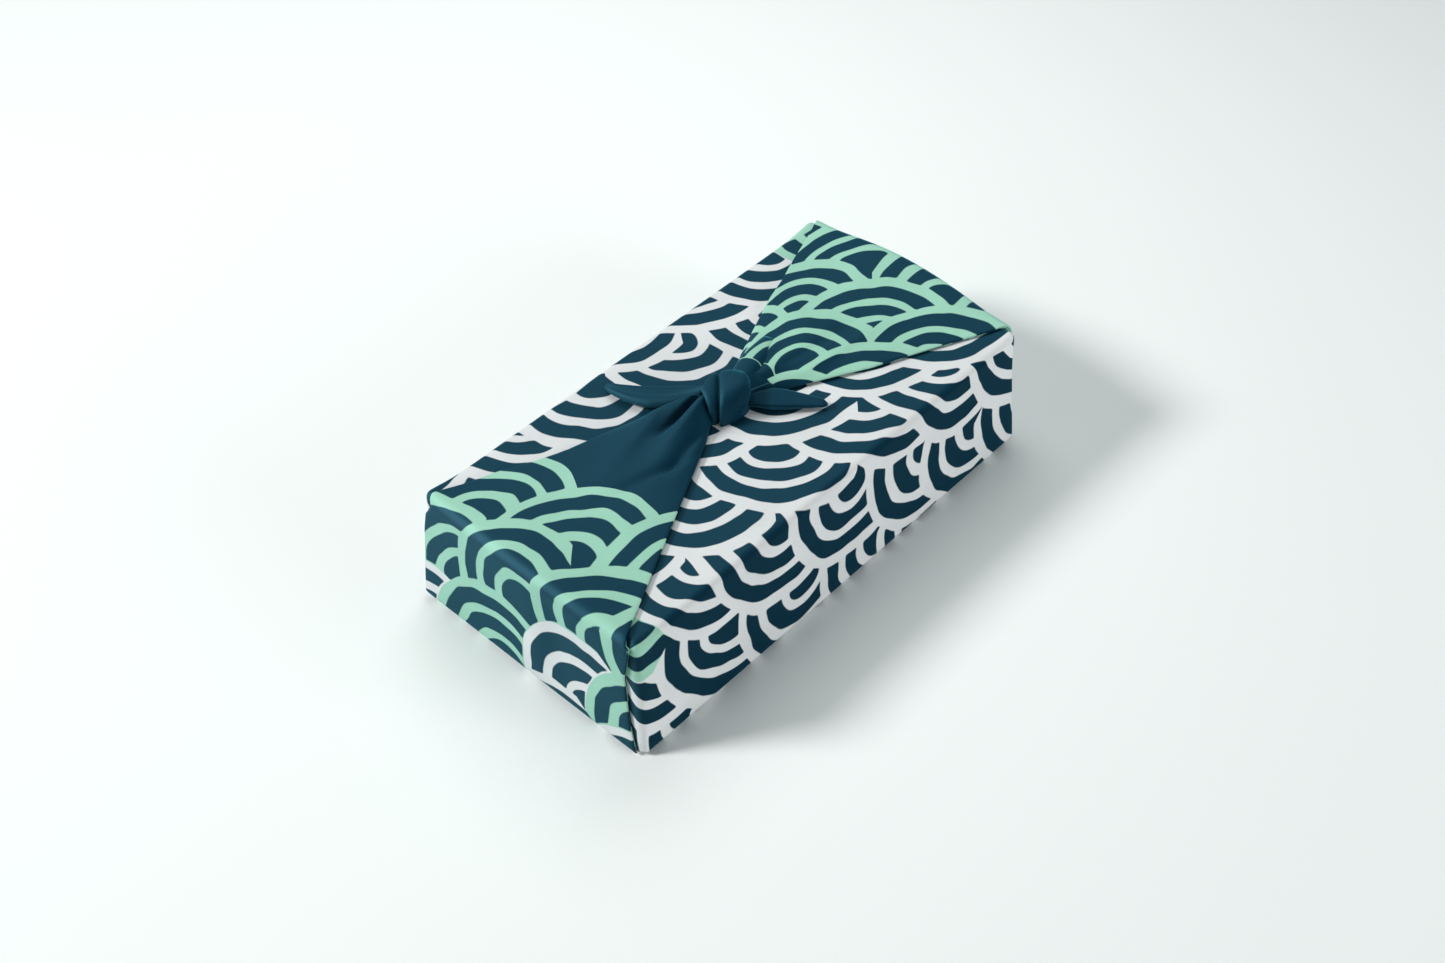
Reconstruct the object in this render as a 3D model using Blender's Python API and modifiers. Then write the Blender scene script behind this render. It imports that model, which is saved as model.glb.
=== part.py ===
"""A box-shaped bundle wrapped in one square cloth, with the cloth's two end corners knotted on top.

Metres, +Z up. The bundle stands on z = 0, its long side is along X, and it is centred on the origin.
The cloth is 700 mm square. It lies with its corners along X and Y: the two Y corners are folded over
the box, and the two X corners come up over the ends and are tied together.
"""

import math

import bmesh
import bpy
import numpy as np
from mathutils import Vector

MM = 0.001

# Driving sizes of the wrapped box, outside the cloth
BASE_LENGTH = 267.2 * MM
BASE_WIDTH = 140.0 * MM
TOP_LENGTH = 259.7 * MM
TOP_WIDTH = 127.2 * MM
HEIGHT = 67.6 * MM

# The cloth's thickness, and the distance from one layer's middle to the next
THICK = 1.0 * MM
PITCH = 1.5 * MM

# Bends: the box's edges and corners, and the end panels' way over the upper edge
BEND_RADIUS = 5.0 * MM
PANEL_EDGE_RADIUS = 8.0 * MM

# Widths of what is turned in or under, and the height of the back flap's hem above the ground
TURN_IN = 22.0 * MM
HEM_HEIGHT = 12.0 * MM
HEM_WIDTH = 10.0 * MM
SLIT = 1.2 * MM
INNER_FLAP_SHORT = 16.0 * MM

# The underside is a hair hollow between its four corners, on which the bundle stands
HOLLOW = 0.03 * MM

# Steps of the mesh
FLAT_COLUMNS = 14
BEND_STEPS = 3
WALL_ROWS = 4
INNER_WALL_ROWS = 3
LID_ROWS = 9
INNER_LID_ROWS = 6
TURN_SHARES = (0.4, 1.0)
PANEL_ROWS = 12
PANEL_END_STEPS = 5
PANEL_TOP_STEPS = 11
TURNED_ROWS = 2
FREE_FROM = 3
MERGE = 0.02 * MM

# Middle surfaces of the layers
SIDE = BASE_WIDTH / 2 - THICK / 2
GROUND = THICK / 2
LID = HEIGHT - THICK / 2 - 1.5 * PITCH
PANEL_END = BASE_LENGTH / 2 - THICK / 2
WALL_END = PANEL_END - 2 * PITCH
PANEL_LID = LID + 2 * PITCH

# Where the underside's corners are
FOOT_X = PANEL_END - BEND_RADIUS
FOOT_Y = SIDE - BEND_RADIUS - SLIT

# The end panels' side folds on the lid, in mm: distance from the middle, and Y of the fold
LEFT_BACK_FOLD = ((6, 11), (14, 15), (28, 24), (52, 31), (70, 34.5), (84, 40), (98, 47), (120, 55), (132, 60))
LEFT_FRONT_FOLD = ((6, 1), (14, 0), (24, -5.5), (49, -18), (79, -33), (109, -48), (121, -54), (130, -59))
RIGHT_BACK_FOLD = ((6, 7), (14, 12), (29, 21.5), (45, 28.5), (67, 37.5), (83, 42.5), (99, 49), (128, 59))
RIGHT_FRONT_FOLD = ((6, -1), (14, -4), (27, -9), (36, -14), (63, -28), (89, -39), (103, -45), (131, -59))

# How far the side folds stand back from the upright corners, in mm: height, distance
FRONT_LEFT_INSET = ((0, 4), (15, 6.5), (45, 7.5), (58, 4), (68, 1.5))
PLAIN_INSET = ((0, 3), (68, 1.5))

# Height of the panels' middle over their side folds, in mm: distance from the centre, height
PANEL_CROWN = ((6, 8), (14, 9), (30, 7.5), (50, 5), (80, 2.6), (110, 1), (135, 0))
CROWN_FLATNESS = 2.2

# Troughs that run from the knot, in mm: distance at the start and end, share of the panel's width
# from its back fold at the start and end, width, depth
LEFT_TROUGHS = ((4, 56, 0.36, 0.31, 4, 3.2), (12, 100, 0.66, 0.42, 7, 2.0), (20, 70, 0.85, 0.78, 5, 1.0))
RIGHT_TROUGHS = ((4, 60, 0.34, 0.42, 4, 2.2), (6, 80, 0.68, 0.60, 5, 1.8), (15, 50, 0.86, 0.84, 3, 1.4))
TROUGH_SKEW = 0.6

# The upper edge of each end stands full between its corners, and fades over these distances
END_FULLNESS = 3.0 * MM
FULLNESS_ALONG = 28.0 * MM
FULLNESS_DOWN = 24.0 * MM

# The knot: how far the panels reach into it, and the way its bands run across the lid
KNOT_REACH = 6.0 * MM
KNOT_TURN = math.radians(-47.5)
KNOT_SQUARENESS = 0.7
KNOT_SEGMENTS = 20
KNOT_RINGS = 12

# Its two bands, in mm: middle, and half sizes along the axis, across it and upwards
BEAD = ((1.0, 0.5, 75.2), (8.0, 12.5, 8.4))
BAND = ((-10.5, 5.0, 73.6), (4.2, 11.5, 7.2))

# The free ends, in mm: root, tip
LEFT_TAIL = ((-5.0, 9.5, 71.0), (-29.5, 51.0, 68.2))
RIGHT_TAIL = ((8.0, -2.0, 71.5), (31.0, -29.5, 68.4))
# share of the length, half width, height of the fold
LEFT_TAIL_SHAPE = ((0, 5, 4), (0.25, 8, 3.6), (0.45, 8.5, 3.4), (0.7, 6, 3), (0.88, 3.6, 2.2), (1, 1.4, 1.6))
RIGHT_TAIL_SHAPE = ((0, 4, 4), (0.3, 6, 3.8), (0.55, 5.8, 3.2), (0.8, 3.6, 2.4), (1, 1.4, 1.6))
TAIL_STEPS = 8

# The free ends' upper lip, as shares: its arch of the height, its overhang of the half width, its edge
LIP_ARCH = 1.15
LIP_OVERHANG = 0.85
LIP_EDGE = 0.45


def clear_scene():
    for obj in list(bpy.data.objects):
        bpy.data.objects.remove(obj, do_unlink=True)


def read(table, value):
    """A table in mm, read at a value in metres."""
    rows = np.array(table, float) * MM
    return float(np.interp(value, rows[:, 0], rows[:, 1]))


def tapered(x, y, z):
    """The box narrows a little from its foot towards its top, and its underside is a hair hollow."""
    rise = max(0, z - BEND_RADIUS) / (HEIGHT - BEND_RADIUS)
    corner = min(1, (x / FOOT_X * y / FOOT_Y) ** 2)
    low = max(0, 1 - (z - GROUND) / BEND_RADIUS)
    return (
        x * (1 + (TOP_LENGTH / BASE_LENGTH - 1) * rise),
        y * (1 + (TOP_WIDTH / BASE_WIDTH - 1) * rise),
        z + HOLLOW * (1 - corner) * low,
    )


def line(start, end, steps):
    """Points from start to end, without the end."""
    return [tuple(a + (b - a) * i / steps for a, b in zip(start, end)) for i in range(steps)]


def bend(centre, radius, start, end, steps):
    """Points of an arc in the YZ plane, angles in degrees, without the end."""
    turns = [math.radians(start + (end - start) * i / steps) for i in range(steps)]
    return [(centre[0] + radius * math.cos(a), centre[1] + radius * math.sin(a)) for a in turns]


class Row:
    """One line of the cloth along X: where it crosses the YZ plane, and how its ends are finished."""

    def __init__(self, point, out, layer, finish):
        self.point = point
        self.out = out
        self.side = SIDE - layer
        self.lid = LID - layer
        self.end = WALL_END - layer
        self.finish = finish

    def inset(self, depth):
        """The row's point on the end face, this deep inside the outline."""
        y = self.point[0] - self.out[0] * depth
        z = self.point[1] - self.out[1] * depth
        y = max(-(self.side - depth), min(self.side - depth, y))
        return y, min(z, self.lid - depth)


def bend_rows(centre, start, end, layer, finish):
    points = bend(centre, BEND_RADIUS, start, end, BEND_STEPS)
    outs = bend((0, 0), 1, start, end, BEND_STEPS)
    return [Row(point, out, layer, finish) for point, out in zip(points, outs)]


def line_rows(start, end, steps, out, layer, finish):
    return [Row(point, out, layer, finish) for point in line(start, end, steps)]


def wrap_rows():
    """The cloth's run round the box: inner flap, back wall, bottom, front wall, lid and back flap."""
    r = BEND_RADIUS
    low = GROUND + r
    inner = 2 * PITCH
    back = SIDE - inner
    inner_lid = LID - inner
    start = (INNER_FLAP_SHORT - SIDE, inner_lid)
    rows = line_rows(start, (back - r, inner_lid), INNER_LID_ROWS, (0, 1), inner, "plain")
    rows += bend_rows((back - r, inner_lid - r), 90, 0, inner, "plain")
    rows += line_rows((back, inner_lid - r), (back, low), INNER_WALL_ROWS, (1, 0), inner, "round")
    rows += bend_rows((back - r, low), 0, -90, inner, "round")
    rows += line_rows((back - r, GROUND), (back - r, GROUND), 1, (0, -1), inner, "round")
    for i in range(PANEL_ROWS + 1):
        share = i / PANEL_ROWS
        y = back - r + (2 * r - SIDE - back) * share
        rows.append(Row((y, GROUND), (0, -1), inner * (1 - share), "panel"))
    rows += bend_rows((r - SIDE, low), -90, -180, 0, "round")
    rows += line_rows((-SIDE, low), (-SIDE, LID - r), WALL_ROWS, (-1, 0), 0, "turned")
    rows += bend_rows((r - SIDE, LID - r), 180, 90, 0, "turned")
    rows += line_rows((r - SIDE, LID), (SIDE - r, LID), LID_ROWS, (0, 1), 0, "turned")
    rows += bend_rows((SIDE - r, LID - r), 90, 0, 0, "turned")
    return rows + back_flap_rows()


def back_flap_rows():
    """The flap's way down the back wall, and its hem turned under."""
    fold = PITCH / 2
    hem_low = HEM_HEIGHT + fold
    rows = line_rows((SIDE, LID - BEND_RADIUS), (SIDE, hem_low), WALL_ROWS, (1, 0), 0, "turned")
    points = bend((SIDE - fold, hem_low), fold, 0, -180, BEND_STEPS)
    points += line((SIDE - PITCH, hem_low), (SIDE - PITCH, hem_low + HEM_WIDTH), 1)
    points.append((SIDE - PITCH, hem_low + HEM_WIDTH))
    return rows + [Row(point, (1, 0), SIDE - point[0], "round") for point in points]


def columns():
    """Places along a row from the middle to its +X end: kind, and how far through it."""
    half = FLAT_COLUMNS // 2
    flat = [("flat", i / half) for i in range(half + 1)]
    corner = [("corner", (i + 1) / BEND_STEPS) for i in range(BEND_STEPS)]
    return flat + corner + [("turned", share) for share in TURN_SHARES]


def row_point(row, kind, share):
    """A point of the row, on its +X half."""
    straight = row.end - BEND_RADIUS
    if kind == "flat":
        return straight * share, *row.point
    if kind == "corner":
        turn = share * math.pi / 2
        depth = BEND_RADIUS * (1 - math.cos(turn))
        return straight + BEND_RADIUS * math.sin(turn), *row.inset(depth)
    return row.end, *row.inset(BEND_RADIUS + (TURN_IN - BEND_RADIUS) * share)


def allowed(row, kind):
    """Whether the cloth of this row reaches round the box's upright corner, and onto its end."""
    kinds = ["flat"]
    if row.finish in ("round", "turned"):
        kinds.append("corner")
    if row.finish == "turned":
        kinds.append("turned")
    return kind in kinds


def add_grid(mesh, grid, keep):
    """Faces over a grid of points; keep(i, j) says whether the cell is there."""
    verts = {}

    def vert(i, j):
        if (i, j) not in verts:
            verts[i, j] = mesh.verts.new(grid[i][j])
        return verts[i, j]

    for i in range(len(grid) - 1):
        for j in range(len(grid[0]) - 1):
            if keep(i, j):
                mesh.faces.new((vert(i, j), vert(i, j + 1), vert(i + 1, j + 1), vert(i + 1, j)))


def add_wrap(mesh):
    rows = wrap_rows()
    places = columns()
    kinds = [kind for kind, _ in places]
    for sign in (1, -1):
        grid = []
        for row in rows:
            half = [row_point(row, kind, share) for kind, share in places]
            grid.append([tapered(sign * x, y, z) for x, y, z in half])

        def keep(i, j):
            return allowed(rows[i], kinds[j + 1]) and allowed(rows[i + 1], kinds[j + 1])

        add_grid(mesh, grid, keep)


def top_fold(table, distance):
    """Y of a panel's side fold on the lid, before the taper."""
    return read(table, distance * TOP_LENGTH / BASE_LENGTH) * BASE_WIDTH / TOP_WIDTH


def panel_stations(across):
    """The panel's run from under the box, up the end and over the lid to the knot: x, z."""
    foot, edge = BEND_RADIUS, PANEL_EDGE_RADIUS
    start = WALL_END - 2 * PITCH * (1 - across) - foot
    stations = line((start, GROUND), (PANEL_END - foot, GROUND), 1)
    stations += bend((PANEL_END - foot, GROUND + foot), foot, -90, 0, BEND_STEPS)
    stations += line((PANEL_END, GROUND + foot), (PANEL_END, PANEL_LID - edge), PANEL_END_STEPS)
    stations += bend((PANEL_END - edge, PANEL_LID - edge), edge, 0, 90, BEND_STEPS + 1)
    stations += line((PANEL_END - edge, PANEL_LID), (KNOT_REACH, PANEL_LID), PANEL_TOP_STEPS)
    stations.append((KNOT_REACH, PANEL_LID))
    return stations


def trough_depth(troughs, x, y, back, front):
    """How deep the panel lies below its crown at a point of the lid."""
    depth = 0
    for start, end, share_start, share_end, width, deepest in troughs:
        run = (x / MM - start) / (end - start)
        if 0 < run < 1:
            share = share_start + (share_end - share_start) * run
            off = (y - back - (front - back) * share) / (width * MM)
            depth += deepest * MM * math.exp(-off * off) * math.sin(math.pi * run**TROUGH_SKEW)
    return depth


def fullness(x, z, across):
    """How far the panel's upper edge stands out between its corners."""
    off_edge = (PANEL_END - x) / FULLNESS_ALONG
    below_edge = (HEIGHT - z) / FULLNESS_DOWN
    return END_FULLNESS * math.exp(-(off_edge**2) - below_edge**2) * math.sin(math.pi * across)


def panel_middle(side_folds, insets, troughs):
    """The panel's outer layer, as rows across it from +Y to -Y, in the +X half."""
    rows = []
    bottom = (SIDE - 2 * PITCH - BEND_RADIUS, BEND_RADIUS - SIDE)
    for k in range(PANEL_ROWS + 1):
        across = k / PANEL_ROWS
        row = []
        for number, (x, z) in enumerate(panel_stations(across)):
            back = SIDE - read(insets[0], z)
            front = read(insets[1], z) - SIDE
            if x < PANEL_END and z > HEIGHT / 2:
                back = min(back, top_fold(side_folds[0], x))
                front = max(front, top_fold(side_folds[1], x))
            if z < GROUND + BEND_RADIUS:
                blend = (z - GROUND) / BEND_RADIUS
                slit = SLIT if number > 0 else 0
                back = (bottom[0] - slit) * (1 - blend) + back * blend
                front = (bottom[1] + slit) * (1 - blend) + front * blend
            y = back + (front - back) * across
            full = fullness(x, z, across)
            if x < PANEL_END and z > HEIGHT / 2:
                crown = read(PANEL_CROWN, x) * (1 - abs(2 * across - 1) ** CROWN_FLATNESS)
                z += max(0, crown - trough_depth(troughs, x, y, back, front) * math.sin(math.pi * across))
            row.append((x + full * z / HEIGHT, y, z + full))
        rows.append(row)
    return rows


def surface_normals(grid):
    """Outward normals of the panel's outer layer."""
    along = np.gradient(grid, axis=1)
    across = np.gradient(grid, axis=0)
    normals = np.cross(along, across)
    return normals / np.linalg.norm(normals, axis=2)[:, :, None]


def turned_under(grid, normals, side):
    """Rows that carry a panel's side round its fold and back under it, first one at the fold."""
    edge = grid[side]
    step = 1 if side == 0 else -1
    inward = grid[side + step] - edge
    inward /= np.linalg.norm(inward, axis=1)[:, None]
    outward = normals[side]
    radius = PITCH / 2
    rows = []
    for i in range(1, BEND_STEPS + 1):
        turn = math.pi * i / BEND_STEPS
        rows.append(edge - inward * radius * math.sin(turn) - outward * radius * (1 - math.cos(turn)))
    for i in range(1, TURNED_ROWS + 1):
        rows.append(grid[side + step * i] - normals[side + step * i] * PITCH)
    return rows


def add_panel(mesh, sign, side_folds, insets, troughs):
    middle = np.array(panel_middle(side_folds, insets, troughs))
    normals = surface_normals(middle)
    back = turned_under(middle, normals, 0)[::-1]
    front = turned_under(middle, normals, -1)
    grid = back + list(middle) + front
    first = len(back)
    last = first + len(middle) - 1
    grid = [[tapered(sign * x, y, z) for x, y, z in row] for row in grid]

    def keep(i, j):
        return first <= i < last or j >= FREE_FROM

    add_grid(mesh, grid, keep)


def new_object(name, mesh_data, collection, material):
    obj = bpy.data.objects.new(name, mesh_data)
    collection.objects.link(obj)
    obj.data.materials.append(material)
    return obj


def add_thickness(obj):
    solid = obj.modifiers.new("thickness", "SOLIDIFY")
    solid.thickness = THICK
    solid.offset = 0


def finish_mesh(name, mesh):
    bmesh.ops.remove_doubles(mesh, verts=mesh.verts, dist=MERGE)
    bmesh.ops.recalc_face_normals(mesh, faces=mesh.faces)
    data = bpy.data.meshes.new(name)
    mesh.to_mesh(data)
    mesh.free()
    return data


def folded_sheet(name, collection, material):
    """The folded cloth as one open surface, given its thickness by Solidify."""
    mesh = bmesh.new()
    add_wrap(mesh)
    add_panel(mesh, -1, (LEFT_BACK_FOLD, LEFT_FRONT_FOLD), (PLAIN_INSET, FRONT_LEFT_INSET), LEFT_TROUGHS)
    add_panel(mesh, 1, (RIGHT_BACK_FOLD, RIGHT_FRONT_FOLD), (PLAIN_INSET, PLAIN_INSET), RIGHT_TROUGHS)
    obj = new_object(name, finish_mesh(name, mesh), collection, material)
    add_thickness(obj)
    return obj


def knot_lump(name, shape, collection, material):
    """A tight turn of the knot, as a squarish ball across the knot's axis."""
    middle, half = shape
    mesh = bmesh.new()
    bmesh.ops.create_uvsphere(mesh, u_segments=KNOT_SEGMENTS, v_segments=KNOT_RINGS, radius=1)
    for vert in mesh.verts:
        fuller = [math.copysign(abs(c) ** KNOT_SQUARENESS, c) for c in vert.co]
        vert.co = Vector([c * h * MM for c, h in zip(fuller, half)])
    obj = new_object(name, finish_mesh(name, mesh), collection, material)
    obj.location = Vector(middle) * MM
    obj.rotation_euler.z = KNOT_TURN
    return obj


def tail_section(half_width, height):
    """A leaf folded along one side: lower lip, fold, upper lip. Across it, and upwards."""
    return (
        (-half_width, 0),
        (0, 0),
        (half_width - height / 2, 0),
        (half_width, height / 2),
        (half_width - height / 2, height),
        (0, height * LIP_ARCH),
        (-half_width * LIP_OVERHANG, height * LIP_EDGE + THICK),
    )


def tail(name, ends, shape, collection, material):
    root, tip = (np.array(p) * MM for p in ends)
    along = tip - root
    side = np.cross((0, 0, 1), along)
    side /= np.linalg.norm(side)
    side *= math.copysign(1, side[1])
    table = np.array(shape, float)
    grid = []
    for i in range(TAIL_STEPS + 1):
        share = i / TAIL_STEPS
        half_width, height = (np.interp(share, table[:, 0], table[:, k]) * MM for k in (1, 2))
        middle = root + along * share
        grid.append([middle + side * a + np.array((0, 0, up)) for a, up in tail_section(half_width, height)])
    mesh = bmesh.new()
    add_grid(mesh, grid, lambda i, j: True)
    obj = new_object(name, finish_mesh(name, mesh), collection, material)
    add_thickness(obj)
    return obj


def stand_in_the_middle(holder, cloth):
    """Move all by the holder, so that the cloth's box is centred on the origin."""
    bpy.context.view_layer.update()
    solid = cloth.evaluated_get(bpy.context.evaluated_depsgraph_get())
    corners = [solid.matrix_world @ Vector(corner) for corner in solid.bound_box]
    for axis in (0, 1):
        places = [corner[axis] for corner in corners]
        holder.location[axis] = -(min(places) + max(places)) / 2
    holder.location.z = -min(corner.z for corner in corners)


def join(target, part):
    """Add a helper's volume to the target."""
    part.hide_render = True
    part.display_type = "WIRE"
    union = target.modifiers.new(f"with_{part.name}", "BOOLEAN")
    union.operation = "UNION"
    union.solver = "EXACT"
    union.object = part


def cloth_material():
    material = bpy.data.materials.new("printed_cotton")
    material.use_nodes = True
    shader = material.node_tree.nodes["Principled BSDF"]
    shader.inputs["Base Color"].default_value = (0.014, 0.065, 0.112, 1)
    shader.inputs["Roughness"].default_value = 0.6
    shader.inputs["Metallic"].default_value = 0
    return material


def build():
    clear_scene()
    collection = bpy.data.collections.new("furoshiki_wrap")
    helpers = bpy.data.collections.new("joined_into_the_cloth")
    bpy.context.scene.collection.children.link(collection)
    bpy.context.scene.collection.children.link(helpers)
    material = cloth_material()
    cloth = folded_sheet("furoshiki_cloth", collection, material)
    parts = [
        knot_lump("knot_bead", BEAD, helpers, material),
        knot_lump("knot_band", BAND, helpers, material),
        tail("left_tail", LEFT_TAIL, LEFT_TAIL_SHAPE, helpers, material),
        tail("right_tail", RIGHT_TAIL, RIGHT_TAIL_SHAPE, helpers, material),
    ]
    holder = bpy.data.objects.new("bundle", None)
    collection.objects.link(holder)
    for part in [cloth] + parts:
        part.parent = holder
    for part in parts:
        join(cloth, part)
    stand_in_the_middle(holder, cloth)


build()
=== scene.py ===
"""A box-shaped bundle wrapped in one printed furoshiki, tied on top, on a pale floor.

The cloth is one square sheet. Every point of it keeps its place on the flat cloth as a UV pair (p, q):
p runs along X and over the ends, q runs round the box across its width, both from the bottom's middle.
"""

import math

import bmesh
import bpy
import numpy as np
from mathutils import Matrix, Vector


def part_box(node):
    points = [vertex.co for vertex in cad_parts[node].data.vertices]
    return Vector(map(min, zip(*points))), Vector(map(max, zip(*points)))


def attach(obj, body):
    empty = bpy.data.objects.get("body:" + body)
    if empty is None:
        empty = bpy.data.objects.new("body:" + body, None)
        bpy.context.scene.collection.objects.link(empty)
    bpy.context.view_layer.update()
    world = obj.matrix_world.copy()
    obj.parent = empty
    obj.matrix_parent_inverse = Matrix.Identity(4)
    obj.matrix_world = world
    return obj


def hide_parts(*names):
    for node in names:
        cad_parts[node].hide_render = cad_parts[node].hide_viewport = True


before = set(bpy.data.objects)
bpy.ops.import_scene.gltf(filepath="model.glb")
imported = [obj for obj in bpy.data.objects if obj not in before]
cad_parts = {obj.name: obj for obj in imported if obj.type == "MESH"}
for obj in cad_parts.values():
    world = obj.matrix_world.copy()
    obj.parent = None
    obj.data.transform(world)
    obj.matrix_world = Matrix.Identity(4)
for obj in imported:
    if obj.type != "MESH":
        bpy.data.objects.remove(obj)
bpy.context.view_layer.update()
LOW, HIGH = (np.array(corner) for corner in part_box("furoshiki_cloth"))

MM = 0.001

# Driving sizes, from the frame: the foot, the whole height, and the lid under the knot
BASE_LENGTH, BASE_WIDTH, TALL = HIGH - LOW
HEIGHT = TALL * 0.8086
TOP_LENGTH = BASE_LENGTH * 0.972
TOP_WIDTH = BASE_WIDTH * 0.909

# The square cloth's side, and how far its corners are from its middle
CLOTH_SIDE = 0.70
REACH = CLOTH_SIDE / math.sqrt(2)

# The cloth's thickness, and the distance from one layer's middle to the next
THICK = 0.45 * MM
GAP = 0.7 * MM

# Radius of the bends at the box's edges, and at the upper edge of the ends
BEND = 3.4 * MM
END_BEND = 4.6 * MM

# Middle surfaces of the layers
SIDE = BASE_WIDTH / 2 - THICK / 2
GROUND = THICK / 2
PANEL_END = BASE_LENGTH / 2 - THICK / 2
PANEL_LID = HEIGHT + 0.2 * MM
WALL_END = PANEL_END - 3 * GAP
LID = PANEL_LID - 3 * GAP

# How far the cloth is turned in at the ends, and how high its hem hangs on the back
TURNED = 56 * MM
HEM_HEIGHT = 12 * MM

# Steps of the mesh
FINE = 3.2 * MM
COARSE = 9 * MM
PANEL_STEP = 2.6 * MM
ACROSS = 56
UNDER_ROWS = 17
FLAT_COLUMNS = 30
BEND_COLUMNS = 6
BEND_STEPS = 8
FOLD_STEPS = 3
LAYER_BEND_STEPS = 4

# Bends up to this radius have the steps of a fold, and points this near are one
FOLD_RADIUS = 2 * MM
TOUCHING = 0.01 * MM
MERGED = 0.02 * MM

# A panel's turned layers begin at this station, and stop this many rows short of its middle
FREE_FROM = 8
ROWS_CLEAR = 2

# Columns of the cloth turned in at an end, in shares of the turn, and of its way back out
TURN_SHARES = (0.12, 0.3, 0.6, 1.0)
BACK_SHARES = (0.97, 0.7, 0.35)

# The end panels' side folds on the lid, in mm: distance from the middle, and Y of the fold
LEFT_BACK = ((6, 12.5), (14, 17), (28, 25), (52, 32), (70, 36), (84, 41), (98, 48), (120, 56), (132, 60))
LEFT_FRONT = ((6, 3), (14, 1), (24, -5.5), (49, -18), (79, -33), (109, -48), (121, -54), (130, -59))
RIGHT_BACK = ((6, 7), (14, 12), (29, 21.5), (45, 28.5), (67, 37.5), (83, 42.5), (99, 49), (128, 59))
RIGHT_FRONT = ((6, -1), (14, -4), (27, -9), (36, -14), (63, -28), (89, -39), (103, -45), (131, -59))

# How far the side folds stand back from the upright corners, in mm: height, distance
LEFT_BACK_INSET = ((0, 2), (46, 1), (55, 2.5), (60, 6), (64, 7), (68, 5))
LEFT_FRONT_INSET = ((0, 4), (15, 6.5), (45, 7.5), (58, 4), (68, 2))
RIGHT_BACK_INSET = ((0, 3), (55, 1.5), (68, 3.5))
RIGHT_FRONT_INSET = ((0, 4), (40, 5), (68, 5))

# Height of the panels' middle over their side folds, in mm: distance from the centre, height
CROWN = ((6, 8), (14, 9), (30, 7.5), (50, 5), (80, 2.6), (110, 1), (135, 0))
CROWN_FLATNESS = 2.2

# The panels' back side stands steeper beside the knot, over this distance
BACK_STEEPNESS = 4.5
BACK_STEEP_REACH = 34.0 * MM

# A crease starts at this share of its width, is deepest before its middle, and fades at the side folds
CREASE_START = 0.5
CREASE_LEAN = 0.6
CREASE_BLUNTNESS = 0.8
CREASE_FADE = 1.6

# How far a crease may sink below the side folds
CREASE_SINK = 0.3 * MM

# Creases on the lid, in mm: start x and y, end x and y, width, depth (a ridge is negative)
LEFT_CREASES = (
    (-3, 13.2, -42, 10, 1.8, 5.0),
    (-20, 13, -58, 11, 5.0, 1.2),
    (-9, 18, -60, 28, 4.0, -1.2),
    (-7, 9.0, -54, 0, 3.4, -1.8),
    (-11, 0, -58, -10, 2.5, 2.5),
    (-35, -11, -90, 3, 3.0, 2.1),
    (-30, 20, -86, 12, 6.0, -1.7),
)
RIGHT_CREASES = (
    (4, 4, 58, 10, 3.6, 2.0),
    (8, 0, 78, -18, 4.5, 1.5),
    (12, 8, 70, 28, 5.0, 1.0),
    (18, -3, 60, -16, 3.0, -0.8),
    (14, 7, 88, 12, 5.0, -0.8),
    (36, -11, 108, -19, 3.6, -1.5),
    (30, -1, 104, -7, 4.4, 1.3),
)

# Soft upright folds of the ends, in mm: Y at the foot, lean, width, rise (a hollow is negative)
END_FOLDS = (
    (-4, -6, 9, 0.9),
    (-26, 10, 13, -0.8),
)

# The upper edge of each end stands full between its corners, and fades over these distances
FULLNESS = 4.5 * MM
FULLNESS_ALONG = 28.0 * MM
FULLNESS_DOWN = 24.0 * MM

# The layers in an upper corner push it out this far, over this distance
CORNER_REACH = 13.0 * MM
CORNER_PUSH = np.array((0.9, 0.7, 2.1)) * MM

# Loose cloth is uneven in waves of this size, in full from this height above the floor
UNEVEN = 0.16 * MM
UNEVEN_FROM = 8 * MM

# Its waves: share, lengths along X, Y and Z in mm for a turn of one radian, and shift
WAVES = (
    (1, 17, 31, math.inf, 0.6),
    (1, 29, -19, 23, 2.1),
    (0.7, 11, math.inf, 13, 1.3),
    (0.6, 37, 12, -17, 0),
)

# Where the panels end at the knot, and how much more cloth they gather on the way there
KNOT_REACH = 6.0 * MM
GATHER = 2.2
GATHER_REACH = 24 * MM

# How far the panels' cloth has run where they meet over the lid's middle
OVER_LID = 2 * WALL_END + HEIGHT - 3.0 * MM

# Directions of the knot: along its axis, across it, and up
AXIS = np.array((0.676, -0.737, 0.0))
CROSS = np.array((0.737, 0.676, 0.0))
UP = np.array((0.0, 0.0, 1.0))


def unit(vector):
    return vector / np.linalg.norm(vector)


def read(table, value):
    """A table in mm, read at a value in metres."""
    rows = np.array(table, float) * MM
    return float(np.interp(value, rows[:, 0], rows[:, 1]))


def corner_fullness(points):
    """The layers gathered in each upper corner push it outwards."""
    corner = np.array((TOP_LENGTH / 2, TOP_WIDTH / 2, HEIGHT))
    distance = np.linalg.norm(np.abs(points) - corner, axis=-1)
    share = np.exp(-((distance / CORNER_REACH) ** 2))
    return np.sign(points) * share[..., None] * CORNER_PUSH


def tapered(points):
    """The box narrows a little from its foot towards its top."""
    points = np.array(points, float)
    rise = np.maximum(0, points[..., 2] - BEND) / (HEIGHT - BEND)
    points[..., 0] *= 1 + (TOP_LENGTH / BASE_LENGTH - 1) * rise
    points[..., 1] *= 1 + (TOP_WIDTH / BASE_WIDTH - 1) * rise
    return points + corner_fullness(points)


def straight(start, end, spacing):
    """Points from start to end, without the end."""
    steps = max(1, round(np.linalg.norm(end - start) / spacing))
    return [start + (end - start) * i / steps for i in range(steps)]


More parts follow.
